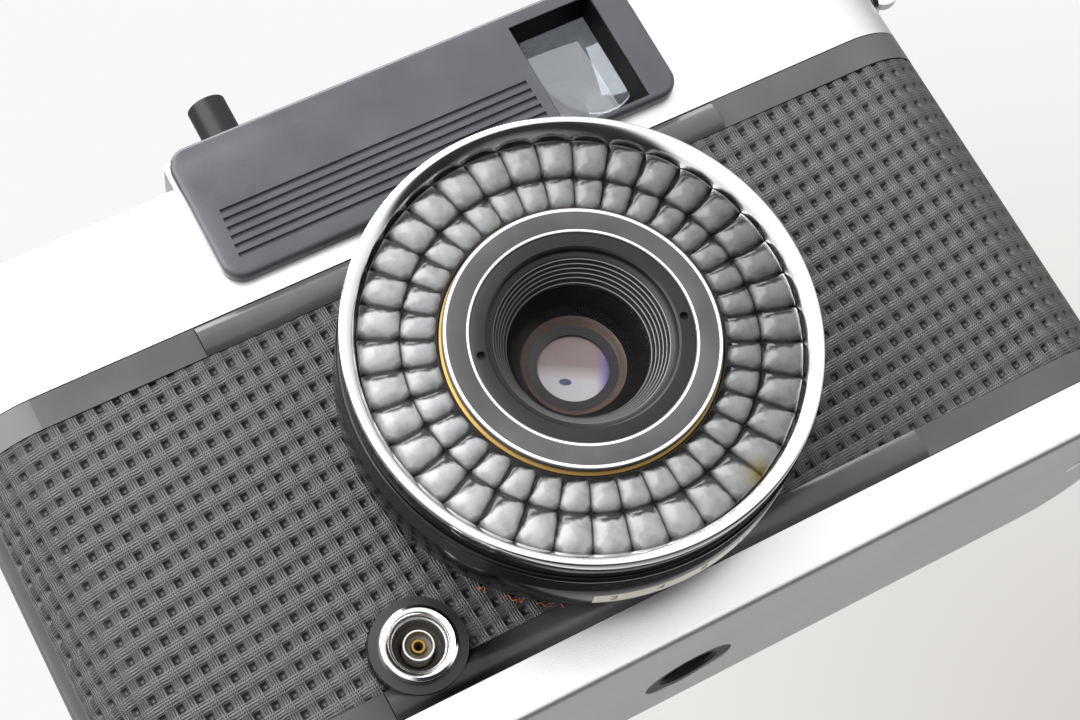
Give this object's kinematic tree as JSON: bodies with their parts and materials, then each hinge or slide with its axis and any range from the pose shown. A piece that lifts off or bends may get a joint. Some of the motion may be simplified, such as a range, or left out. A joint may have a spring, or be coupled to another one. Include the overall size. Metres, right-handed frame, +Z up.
{
  "type": "half frame camera",
  "caption": "Half frame 35 mm compact camera with a selenium cell ring round its fixed lens, hinged back, film transport, rewind crank and a sprung shutter button.",
  "frame": {"origin": "on the base, midway across the strap lugs and midway from the lens rim to the eyepiece", "axes": "+Z up, the lens looks along -Y, +X is to the right of somebody facing the lens"},
  "size_m": [0.1206, 0.047, 0.0736],
  "materials": {
    "satin_chrome": "fine satin chrome plate",
    "bright_chrome": "polished chrome plate",
    "black_enamel": "gloss black baked enamel",
    "leatherette": "embossed black leatherette with a grid of pits",
    "slate_enamel": "satin blue-black enamel",
    "clear_plastic": "clear moulded acrylic",
    "coated_glass": "coated optical glass",
    "black_anodised": "black anodised, fine turned",
    "bright_steel": "nickel plated steel",
    "brass": "machined brass",
    "black_plastic": "black moulded plastic",
    "selenium": "grey selenium layer",
    "red_paint": "signal red paint",
    "felt": "black light-seal felt"
  },
  "bodies": {
    "body": {"main_casting": "black_enamel", "front_plate": "black_enamel", "leatherette_left": "leatherette", "leatherette_right": "leatherette", "top_cover": "satin_chrome", "bottom_cover": "satin_chrome", "nameplate": "slate_enamel", "finder_window": "coated_glass", "finder_tube": "black_anodised", "finder_front_lens": "coated_glass", "finder_rear_lens": "coated_glass", "eyepiece_frame": "black_anodised", "accessory_shoe": "bright_chrome", "shoe_contact": "brass", "shoe_screws": "bright_steel", "counter_window": "clear_plastic", "button_collar": "black_anodised", "button_spring": "bright_steel", "barrel_neck": "black_enamel", "lens_housing": "black_anodised", "front_bezel": "bright_chrome", "selenium_cell": "selenium", "bubble_lens": "clear_plastic", "name_ring": "black_anodised", "cell_trim_ring": "brass", "lens_hood_ring": "black_anodised", "front_element": "coated_glass", "rear_element": "coated_glass", "lens_cell": "black_anodised", "shutter_plate": "bright_steel", "sync_socket": "bright_chrome", "sync_insulator": "black_plastic", "sync_pin": "brass", "tripod_bush": "bright_steel", "strap_lugs": "bright_chrome", "hinge_pin": "bright_steel", "base_screws": "bright_steel"},
    "back_door": {"back_cover": "black_enamel", "back_leatherette": "leatherette", "light_seals": "felt"},
    "pressure_pad": {"pressure_plate": "black_anodised", "pressure_spring": "bright_steel"},
    "latch": {"back_latch": "bright_steel"},
    "rewind": {"rewind_knob": "bright_chrome", "rewind_fork": "bright_steel", "crank_pin": "bright_steel"},
    "crank": {"rewind_crank": "bright_chrome"},
    "advance": {"advance_wheel": "black_plastic", "advance_gear": "brass"},
    "sprocket_shaft": {"sprocket": "bright_steel", "sprocket_gear": "brass"},
    "take_up": {"take_up_spool": "black_plastic"},
    "counter": {"counter_dial": "black_anodised"},
    "button": {"shutter_button": "black_anodised"},
    "aperture_dial": {"aperture_ring": "black_enamel"},
    "speed_dial": {"film_speed_ring": "black_enamel"},
    "blade_left": {"shutter_blade_left": "black_anodised"},
    "blade_right": {"shutter_blade_right": "black_anodised"},
    "flag": {"warning_flag": "red_paint"},
    "release_button": {"rewind_release": "bright_steel"}
  },
  "joints": [
    {"name": "back_hinge", "type": "hinge", "parent": "body", "child": "back_door", "pos_m": [-0.0547, 0.0068, 0.0275], "axis": [0, 0, 1], "range_deg": [0, 92]},
    {"name": "pressure_slide", "type": "slide", "parent": "back_door", "child": "pressure_pad", "axis": [0, 1, 0], "range_m": [0, 0.0006], "stiffness_N_per_m": 150},
    {"name": "latch_slide", "type": "slide", "parent": "body", "child": "latch", "axis": [0, 0, 1], "range_m": [0, 0.0012]},
    {"name": "rewind_turn", "type": "hinge", "parent": "body", "child": "rewind", "pos_m": [0.0392, 0.0072, 0.0675], "axis": [0, 0, 1], "continuous": true},
    {"name": "crank_fold", "type": "hinge", "parent": "rewind", "child": "crank", "pos_m": [0.0392, 0.0016, 0.06887], "axis": [1, 0, 0], "range_deg": [0, 150]},
    {"name": "advance_turn", "type": "hinge", "parent": "body", "child": "advance", "pos_m": [-0.037, 0.0129, 0.055], "axis": [0, 0, 1], "continuous": true},
    {"name": "sprocket_turn", "type": "hinge", "parent": "body", "child": "sprocket_shaft", "pos_m": [-0.0216, 0.0093, 0.03], "axis": [0, 0, 1], "continuous": true},
    {"name": "take_up_turn", "type": "hinge", "parent": "body", "child": "take_up", "pos_m": [-0.0392, 0.0072, 0.028], "axis": [0, 0, 1], "continuous": true},
    {"name": "counter_turn", "type": "hinge", "parent": "body", "child": "counter", "pos_m": [-0.041, 0.0006, 0.06], "axis": [0, 0, 1], "continuous": true},
    {"name": "button_press", "type": "slide", "parent": "body", "child": "button", "axis": [0, 0, -1], "range_m": [0, 0.0025], "stiffness_N_per_m": 200, "deforming": ["button_spring"]},
    {"name": "aperture_turn", "type": "hinge", "parent": "body", "child": "aperture_dial", "pos_m": [0, -0.016, 0.0275], "axis": [0, 1, 0], "range_deg": [0, 75]},
    {"name": "film_speed_turn", "type": "hinge", "parent": "body", "child": "speed_dial", "pos_m": [0, -0.0209, 0.0275], "axis": [0, 1, 0], "range_deg": [0, 60]},
    {"name": "blade_right_swing", "type": "hinge", "parent": "body", "child": "blade_right", "pos_m": [0.0096, -0.0128, 0.0331], "axis": [0, -1, 0], "range_deg": [0, 40], "stiffness_Nm_per_rad": 0.001},
    {"name": "blade_left_swing", "type": "hinge", "parent": "body", "child": "blade_left", "pos_m": [-0.0096, -0.0133, 0.0331], "axis": [0, -1, 0], "range_deg": [-40, 0]},
    {"name": "flag_rise", "type": "hinge", "parent": "body", "child": "flag", "pos_m": [0.004, -0.0037, 0.0519], "axis": [0, -1, 0], "range_deg": [0, 22]},
    {"name": "release_push", "type": "slide", "parent": "body", "child": "release_button", "axis": [0, 0, 1], "range_m": [0, 0.001], "stiffness_N_per_m": 200}
  ],
  "couplings": [
    {"joint": "sprocket_turn", "follows": "advance_turn", "ratio": -0.77778},
    {"joint": "take_up_turn", "follows": "advance_turn", "ratio": -0.67},
    {"joint": "counter_turn", "follows": "advance_turn", "ratio": 0.0202},
    {"joint": "blade_left_swing", "follows": "blade_right_swing", "ratio": -1}
  ]
}
